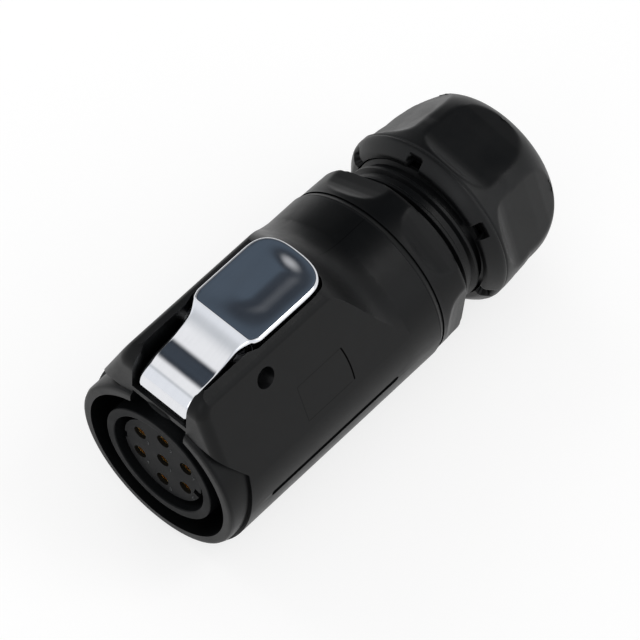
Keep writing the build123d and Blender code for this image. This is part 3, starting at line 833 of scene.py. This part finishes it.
# back housing with the thread of its tail, lengths in millimetres
flangeSet = {
    "front": 52.32,
    "back": 59.0,
    # distance along the axis and radius
    "outline": ((52.0, 17.30), (52.6, 17.22), (58.2, 17.12), (58.7, 16.98), (58.9, 16.75), (59.0, 16.45)),
    "faces": (
        (52.6, 17.9), (53.0, 17.45), (53.6, 16.95), (54.4, 16.50),
        (55.5, 16.14), (57.0, 15.92), (59.0, 15.80),
    ),
    "facesTurn": 26.5,
    "soft": 0.035,
    "stations": 26,
    "columns": 240,
}
threadSet = {
    "finish": "bodyPlastic",
    "tailFrom": 58.9,
    "tailRadius": 14.2,
    "root": 13.45,
    "crest": 14.15,
    "pitch": 2.5,
    "start": 59.85,
    "turns": 3.4,
    "footHalf": 0.80,
    "flatHalf": 0.26,
    "stepsPerTurn": 72,
    "edge": 0.10,
    "edgeSegments": 2,
    "edgeSharp": 35,
    # how far a radius, a place or a cut may be off and still be the one that is meant
    "nearRadius": 0.05,
    "nearPlace": 0.01,
    "nearCut": 0.0001,
    # how far a skin goes on below its neighbour
    "lap": 0.1,
}


def makeBackHousing(s):
    shell = copyOfNode("back_housing")
    for vert in shell.verts:
        radius = radiusOf(vert)
        if vert.co.x > s["tailFrom"] * mm and abs(radius - s["tailRadius"]) < s["nearRadius"]:
            vert.co.y *= s["root"] / radius
            vert.co.z *= s["root"] / radius
    # the flange's own outer faces make way for the skin below
    flange = flangeSet
    front = (flange["front"] * mm, 0, 0)
    near = s["nearCut"] * mm
    bmesh.ops.bisect_plane(shell, geom=everything(shell), dist=near, plane_co=front, plane_no=(1, 0, 0))
    inside = s["root"] + s["nearRadius"]
    low, high = flange["front"] - s["nearPlace"], flange["back"] + s["nearPlace"]
    dropFaces(
        shell,
        lambda f: all(low < v.co.x / mm < high for v in f.verts)
        and any(radiusOf(v) > inside for v in f.verts),
    )
    roundEdges(shell, s["edge"] * mm, s["edgeSegments"], s["edgeSharp"])
    turns = [2 * math.pi * k / flange["columns"] for k in range(flange["columns"])]
    rows = []
    begin = flange["front"] - s["lap"]
    foot = s["root"] - s["lap"]
    for k in range(flange["stations"] + 1):
        x = begin + (flange["back"] - begin) * k / flange["stations"]
        rows.append([(x, gripRadius(x, turn, flange), turn) for turn in turns])
    rows.append([(flange["back"], foot, turn) for turn in turns])
    addTurned(shell, rows)
    # thread ridge, spun round the axis from its outline
    outline = (
        (-s["footHalf"], foot),
        (-s["flatHalf"], s["crest"]),
        (s["flatHalf"], s["crest"]),
        (s["footHalf"], foot),
    )
    ring = [shell.verts.new(((s["start"] + x) * mm, 0, -r * mm)) for x, r in outline]
    edges = [shell.edges.new((ring[i], ring[(i + 1) % len(ring)])) for i in range(len(ring))]
    steps = round(s["turns"] * s["stepsPerTurn"])
    bmesh.ops.spin(
        shell,
        geom=ring + edges,
        cent=(0, 0, 0),
        axis=(1, 0, 0),
        dvec=(s["turns"] * s["pitch"] * mm / steps, 0, 0),
        angle=s["turns"] * 2 * math.pi,
        steps=steps,
    )
    # the two ends of the ridge are closed
    loose = [e for e in shell.edges if len(e.link_faces) == 1]
    bmesh.ops.holes_fill(shell, edges=loose, sides=len(outline))
    bmesh.ops.recalc_face_normals(shell, faces=shell.faces)
    piece = finishPiece(shell, "BackHousingPiece", "housing", s["finish"])
    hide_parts("back_housing")


makeBackHousing(threadSet)
print("back housing made")


# gland nut: coned and notched front, ring line, grip faces that run out over the dome, lengths in millimetres
nutSet = {
    "finish": "nutPlastic",
    "front": 65.3,
    "end": 86.5,
    "bore": 14.5,
    "mouth": 7.0,
    # distance along the axis and radius, as far as the dome
    "outline": (
        (65.30, 15.20), (65.36, 15.45), (65.55, 15.75), (66.00, 16.25), (66.60, 16.80), (67.05, 17.15),
        (67.40, 17.34), (67.75, 17.42), (67.95, 17.42), (68.00, 17.25), (68.14, 17.25), (68.20, 17.36),
        (68.50, 17.40), (71.50, 17.32), (73.50, 17.16), (75.00, 16.90),
    ),
    "domeFrom": 75.0,
    "domeRadius": 16.9,
    "endRadius": 7.7,
    "domePower": 2.38,
    "domeSteps": 60,
    "faces": (
        (68.35, 18.0), (68.70, 17.45), (69.10, 16.95), (69.60, 16.50), (70.20, 16.12), (71.00, 15.78),
        (72.00, 15.55), (74.00, 15.38), (78.00, 15.12), (81.00, 14.80), (84.00, 14.20), (86.50, 13.50),
    ),
    "facesTurn": -8.0,
    "soft": 0.035,
    "columns": 180,
    "notchTurn": 9.5,
    "notchHalf": 5.4,
    "notchDepth": 2.0,
    "notchFloor": 14.7,
    "notchTop": 16.75,
    "notchLean": 0.6,
    # half the thickness of a notch's side walls, in radians, and of its floor's front
    "notchWall": 0.0035,
    "notchStep": 0.02,
    # evenly spaced stations between the ring line and the dome
    "evenFrom": 68.6,
    "evenStep": 0.35,
    "evenCount": 18,
}


def makeNut(s):
    outline = list(s["outline"])
    for k in range(1, s["domeSteps"] + 1):
        lean = math.pi / 2 * k / s["domeSteps"]
        x = s["domeFrom"] + (s["end"] - s["domeFrom"]) * math.sin(lean) ** (2 / s["domePower"])
        fall = max(math.cos(lean), 0.0) ** (2 / s["domePower"])
        outline.append((x, s["endRadius"] + (s["domeRadius"] - s["endRadius"]) * fall))
    skin = dict(s, outline=outline)
    shell = weldedNode("gland_nut")
    inside = s["bore"] + threadSet["nearRadius"]
    behind = (s["end"] - threadSet["nearPlace"]) * mm
    dropFaces(
        shell,
        lambda f: any(radiusOf(v) > inside for v in f.verts) or all(v.co.x > behind for v in f.verts),
    )
    # only the inside is left of the solid, and the first rows close its gaps at the notches
    turns = {2 * math.pi * k / s["columns"] for k in range(s["columns"])}
    centres = [math.radians(s["notchTurn"] + 360 / gripCount * k) for k in range(gripCount)]
    half = math.radians(s["notchHalf"])
    for centre in centres:
        for edge in (-half, half):
            for nudge in (-s["notchWall"], s["notchWall"]):
                turns.add((centre + edge + nudge) % (2 * math.pi))
    turns = sorted(turns)

    def inNotch(turn):
        return any(abs((turn - centre + math.pi) % (2 * math.pi) - math.pi) < half for centre in centres)

    even = {s["evenFrom"] + s["evenStep"] * k for k in range(1, s["evenCount"] + 1)}
    stations = sorted({round(x, 4) for x, r in outline if x <= s["evenFrom"]} | even)
    stations += [x for x, r in outline if x > stations[-1]]
    floorX = s["front"] + s["notchDepth"]
    stations = sorted(set(stations) | {floorX - s["notchStep"], floorX + s["notchStep"]})
    frontRadius = s["outline"][0][1]
    rows = [[(s["front"] if not inNotch(turn) else floorX, s["bore"], turn) for turn in turns]]
    for x in stations:
        row = []
        for turn in turns:
            r = gripRadius(x, turn, skin)
            if inNotch(turn) and x < floorX and r < s["notchTop"]:
                row.append((floorX, s["notchFloor"] + (r - frontRadius) * s["notchLean"], turn))
            else:
                row.append((x, r, turn))
        rows.append(row)
    rows.append([(s["end"], s["mouth"], turn) for turn in turns])
    addTurned(shell, rows)
    bmesh.ops.recalc_face_normals(shell, faces=shell.faces)
    piece = finishPiece(shell, "GlandNutPiece", "nut", s["finish"], smooth=40)
    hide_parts("gland_nut")


makeNut(nutSet)
print("gland nut made")


# release lever: a strap with a kick up to its dished thumb pad, lengths in millimetres
leverSet = {
    "finish": "leverChrome",
    # top line from the foot of the nose to the front edge of the pad, as distance from the face and height
    "topLine": (
        (1.20, 17.80), (1.24, 19.00), (1.48, 20.20), (2.10, 21.30), (3.10, 22.15), (4.30, 22.72),
        (5.60, 23.13), (7.20, 23.42), (8.60, 23.68), (9.80, 24.05), (11.20, 24.60), (12.80, 25.36),
        (14.20, 26.13), (15.45, 26.93),
    ),
    "crest": ((15.62, 26.985), (15.80, 27.00)),
    "underLine": (
        (1.9, 17.80), (4.6, 19.00), (12.4, 19.40), (16.2, 19.90), (17.0, 22.60), (19.6, 25.10), (34.0, 25.10),
    ),
    "armHalf": 5.4,
    "padHalf": 7.1,
    "flare": (12.6, 17.6),
    "endStart": 28.0,
    "padEnd": 34.0,
    "endPower": 2.77,
    "cornerRadius": 0.9,
    "cornerSteps": 6,
    "endSteps": 24,
    "edgeRadius": 0.66,
    "edgeSteps": 6,
    "stationStep": 0.30,
    "rowStep": 0.45,
    "nearCut": 0.0001,
    "weld": 0.001,
    # the dish: depth, half width, where it begins and how long it falls, where its round end begins and ends
    "dishDepth": 0.82,
    "dishHalf": 6.25,
    "dishFront": (16.2, 6.0),
    "dishEnd": (29.3, 33.5),
    "dishPower": 2.5,
    "dishSlope": 1.0,
    "hubAt": (14.9, 21.2),
    "hubRadius": 2.75,
    "hubHalf": 5.0,
    "hubSegments": 64,
    # parts taken from the solid: highest place and front end
    "hookPart": (18.6, -1.0),
    "postPart": (25.3, 22.0),
    "postAt": 26.0,
    "postReach": 1.6,
    "postSlim": 0.68,
}


def smoothStep(value):
    value = min(max(value, 0.0), 1.0)
    return value * value * (3 - 2 * value)


def curveThrough(points, parts=8):
    # smooth curve that passes through every point
    curve = []
    for i in range(len(points) - 1):
        before = Vector(points[max(i - 1, 0)])
        first, second = Vector(points[i]), Vector(points[i + 1])
        after = Vector(points[min(i + 2, len(points) - 1)])
        for k in range(parts):
            t = k / parts
            curve.append(
                0.5
                * (
                    2 * first
                    + (second - before) * t
                    + (2 * before - 5 * first + 4 * second - after) * t * t
                    + (3 * first - before - 3 * second + after) * t**3
                )
            )
    curve.append(Vector(points[-1]))
    return curve


def makeLever(s):
    padHeight = s["crest"][-1][1]
    top = curveThrough(s["topLine"]) + [Vector(p) for p in (*s["crest"], (s["padEnd"], padHeight))]
    along = [0.0]
    for first, second in zip(top, top[1:]):
        along.append(along[-1] + (second - first).length)
    length = along[-1]
    under = [Vector(p) for p in s["underLine"]]

    def topAt(distance):
        # point and outward normal of the top line at a distance along it
        distance = min(max(distance, 0.0), length)
        i = 0
        while i < len(along) - 2 and along[i + 1] < distance:
            i += 1
        share = (distance - along[i]) / (along[i + 1] - along[i])
        way = (top[i + 1] - top[i]).normalized()
        if share > 0.5 and i < len(top) - 2:
            other = (top[i + 2] - top[i + 1]).normalized()
            way = way.lerp(other, share - 0.5).normalized()
        elif share < 0.5 and i > 0:
            other = (top[i] - top[i - 1]).normalized()
            way = way.lerp(other, 0.5 - share).normalized()
        return top[i].lerp(top[i + 1], share), Vector((-way.y, way.x))

    def underAt(x):
        x = min(max(x, under[0].x), under[-1].x)
        for first, second in zip(under, under[1:]):
            if x <= second.x:
                return Vector((x, first.y + (second.y - first.y) * (x - first.x) / (second.x - first.x)))
        return under[-1]

    padShift = length - s["padEnd"]

    def halfAt(distance):
        x = topAt(distance)[0].x
        if x > s["endStart"]:
            lean = min((x - s["endStart"]) / (s["padEnd"] - s["endStart"]), 1.0)
            return s["padHalf"] * max(1 - lean ** s["endPower"], 0.0) ** (1 / s["endPower"])
        share = smoothStep((x - s["flare"][0]) / (s["flare"][1] - s["flare"][0]))
        return s["armHalf"] + (s["padHalf"] - s["armHalf"]) * share

    # outline of the strap laid flat: distance along the top line and half width
    side = []
    corner = s["cornerRadius"]
    for k in range(s["cornerSteps"] + 1):
        turn = math.pi / 2 * k / s["cornerSteps"]
        side.append((corner * (1 - math.cos(turn)), s["armHalf"] - corner * (1 - math.sin(turn))))
    endStart = s["endStart"] + padShift
    count = round((endStart - corner) / s["stationStep"])
    for k in range(1, count + 1):
        distance = corner + (endStart - corner) * k / count
        side.append((distance, halfAt(distance)))
    bend = 2 / s["endPower"]
    for k in range(1, s["endSteps"] + 1):
        lean = math.pi / 2 * k / s["endSteps"]
        reach = math.sin(lean) ** bend
        wide = s["padHalf"] * max(math.cos(lean), 0.0) ** bend
        side.append((endStart + (length - endStart) * reach, wide))
    loop = [Vector((d, -w)) for d, w in side] + [Vector((d, w)) for d, w in side[-2::-1]]
    total = len(loop)
    outward = []
    for i in range(total):
        way = (loop[(i + 1) % total] - loop[i - 1]).normalized()
        outward.append(Vector((way.y, -way.x)))

    shell = bmesh.new()
    depthLayer = shell.verts.layers.float.new("depth")

    def newRing(inset, depth):
        ring = []
        for point, normal in zip(loop, outward):
            flat = point - normal * inset
            vert = shell.verts.new((flat.x, flat.y, 0))
            vert[depthLayer] = depth
            ring.append(vert)
        return ring

    radius = s["edgeRadius"]
    rings = [newRing(0.0, -1.0), newRing(0.0, radius)]
    for k in range(1, s["edgeSteps"] + 1):
        turn = math.pi / 2 * k / s["edgeSteps"]
        rings.append(newRing(radius * (1 - math.cos(turn)), radius * (1 - math.sin(turn))))
    for low, high in zip(rings, rings[1:]):
        for i in range(total):
            k = (i + 1) % total
            shell.faces.new((low[i], low[k], high[k], high[i]))
    lid = shell.faces.new(rings[-1])
    floorFace = shell.faces.new(rings[0][::-1])

    # the lid is cut into stations and rows, and at the crest, to follow the top line and the dish
    cuts = []
    distance = s["stationStep"]
    while distance < length:
        cuts.append(((distance, 0, 0), (1, 0, 0)))
        distance += s["stationStep"]
    for mark in along[-4:-1]:
        cuts.append(((mark, 0, 0), (1, 0, 0)))
    crossCuts = list(cuts)
    row = -s["padHalf"] + s["rowStep"]
    while row < s["padHalf"]:
        cuts.append(((0, row, 0), (0, 1, 0)))
        row += s["rowStep"]

    def cutUp(faces, planes):
        for place, normal in planes:
            geom = set(faces)
            for face in faces:
                geom.update(face.edges)
                geom.update(face.verts)
            cut = bmesh.ops.bisect_plane(
                shell,
                geom=list(geom),
                dist=s["nearCut"],
                plane_co=place,
                plane_no=normal,
            )
            faces = [item for item in cut["geom"] if isinstance(item, bmesh.types.BMFace)]
        return faces

    lidVerts = {vert for face in cutUp([lid], cuts) for vert in face.verts}
    # the underside bends too, so it is cut across
    cutUp([floorFace], crossCuts)

    def dishAt(x, y):
        wide = abs(y) / s["dishHalf"]
        start, stop = s["dishEnd"]
        if x > start:
            power = s["dishPower"]
            wide = (wide**power + ((x - start) / (stop - start)) ** power) ** (1 / power)
        fromX, run = s["dishFront"]
        return s["dishDepth"] * smoothStep((1 - wide) / s["dishSlope"]) * smoothStep((x - fromX) / run)

    for vert in shell.verts:
        point, normal = topAt(vert.co.x)
        depth = vert[depthLayer]
        y = vert.co.y
        if depth < 0 and vert not in lidVerts:
            low = underAt(point.x)
            vert.co = Vector((low.x, y, low.y)) * mm
        else:
            depth = 0.0 if vert in lidVerts else depth
            depth += dishAt(point.x, y)
            vert.co = Vector((point.x - normal.x * depth, y, point.y - normal.y * depth)) * mm
    bmesh.ops.remove_doubles(shell, verts=shell.verts, dist=s["weld"] * mm)

    # hub round the pin
    hubX, hubZ = s["hubAt"]
    hubPlace = Matrix.Translation((hubX * mm, 0, hubZ * mm))
    bmesh.ops.create_cone(
        shell,
        cap_ends=True,
        segments=s["hubSegments"],
        radius1=s["hubRadius"] * mm,
        radius2=s["hubRadius"] * mm,
        depth=2 * s["hubHalf"] * mm,
        matrix=hubPlace @ Matrix.Rotation(math.pi / 2, 4, "X"),
    )
    # hook below the nose and post inside the spring come from the solid itself
    for ceilingZ, fromX in (s["hookPart"], s["postPart"]):
        part = copyOfNode("release_lever")
        for place, normal in (((0, 0, ceilingZ * mm), (0, 0, 1)), ((fromX * mm, 0, 0), (-1, 0, 0))):
            bmesh.ops.bisect_plane(
                part,
                geom=everything(part),
                plane_co=place,
                plane_no=normal,
                clear_outer=True,
            )
        # the post is slimmer than the solid's, so that it leans inside the spring without touching it
        for vert in part.verts:
            aside = vert.co.x - s["postAt"] * mm
            if math.hypot(aside, vert.co.y) < s["postReach"] * mm:
                vert.co.x = s["postAt"] * mm + aside * s["postSlim"]
                vert.co.y *= s["postSlim"]
        scrap = bpy.data.meshes.new("leverPart")
        part.to_mesh(scrap)
        part.free()
        shell.from_mesh(scrap)
        bpy.data.meshes.remove(scrap)
    bmesh.ops.recalc_face_normals(shell, faces=shell.faces)
    piece = finishPiece(shell, "ReleaseLeverPiece", "lever", s["finish"], smooth=50)
    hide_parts("release_lever")


makeLever(leverSet)
print("lever made")


# lever spring under the lever, a copy of the solid with its own mesh
springSet = {"finish": "pinSteel", "foot": (0.026, 0, 0.0164), "keep": 0.80}


def makeSpring(s):
    shell = weldedNode("lever_spring")
    piece = finishPiece(shell, "LeverSpringPiece", "housing", s["finish"])
    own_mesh(piece)
    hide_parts("lever_spring")


makeSpring(springSet)
print("lever spring made")


# small raised numerals beside the contacts, lengths in millimetres
numeralSet = {
    "finish": "markPlastic",
    "face": 1.5,
    "proud": 0.05,
    "size": 1.25,
    "beside": (-1.85, -1.15),
    "circle": 5.91,
    "outer": 6,
}


def makeNumerals(s):
    shell = bmesh.new()
    spots = [(0.0, 0.0)]
    for k in range(s["outer"]):
        turn = 2 * math.pi * k / s["outer"]
        spots.append((s["circle"] * math.sin(turn), s["circle"] * math.cos(turn)))
    for number, (y, z) in enumerate(spots, 1):
        words = bpy.data.curves.new("numeral", "FONT")
        words.body = str(number)
        words.size = s["size"] * mm
        words.extrude = s["proud"] * mm
        words.align_x = "CENTER"
        words.align_y = "CENTER"
        holder = bpy.data.objects.new("numeral", words)
        outline = bpy.data.meshes.new_from_object(holder)
        place = Vector((s["face"], y + s["beside"][0], z + s["beside"][1])) * mm
        turned = Matrix(((0, 0, -1), (-1, 0, 0), (0, 1, 0))).to_4x4()
        outline.transform(Matrix.Translation(place) @ turned)
        shell.from_mesh(outline)
        bpy.data.objects.remove(holder)
        bpy.data.curves.remove(words)
        bpy.data.meshes.remove(outline)
    finishPiece(shell, "InsertNumerals", "housing", s["finish"])


makeNumerals(numeralSet)
print("numerals made")


# solids that keep their own shape get their finish
finishOf = {
    "insert_circlip": "pinSteel",
    "retaining_ring": "insertPlastic",
    "face_seal": "sealRubber",
    "seam_seal": "sealRubber",
    "clamp_claw": "clawPlastic",
}
for node in nodes:
    if node.startswith("contact_") and node != "contact_insert":
        finishOf[node] = "contactGold"
for node, finish in finishOf.items():
    solid = nodes[node]
    solid.data.materials.clear()
    solid.data.materials.append(materials[finish])
print("finishes given to the other solids")
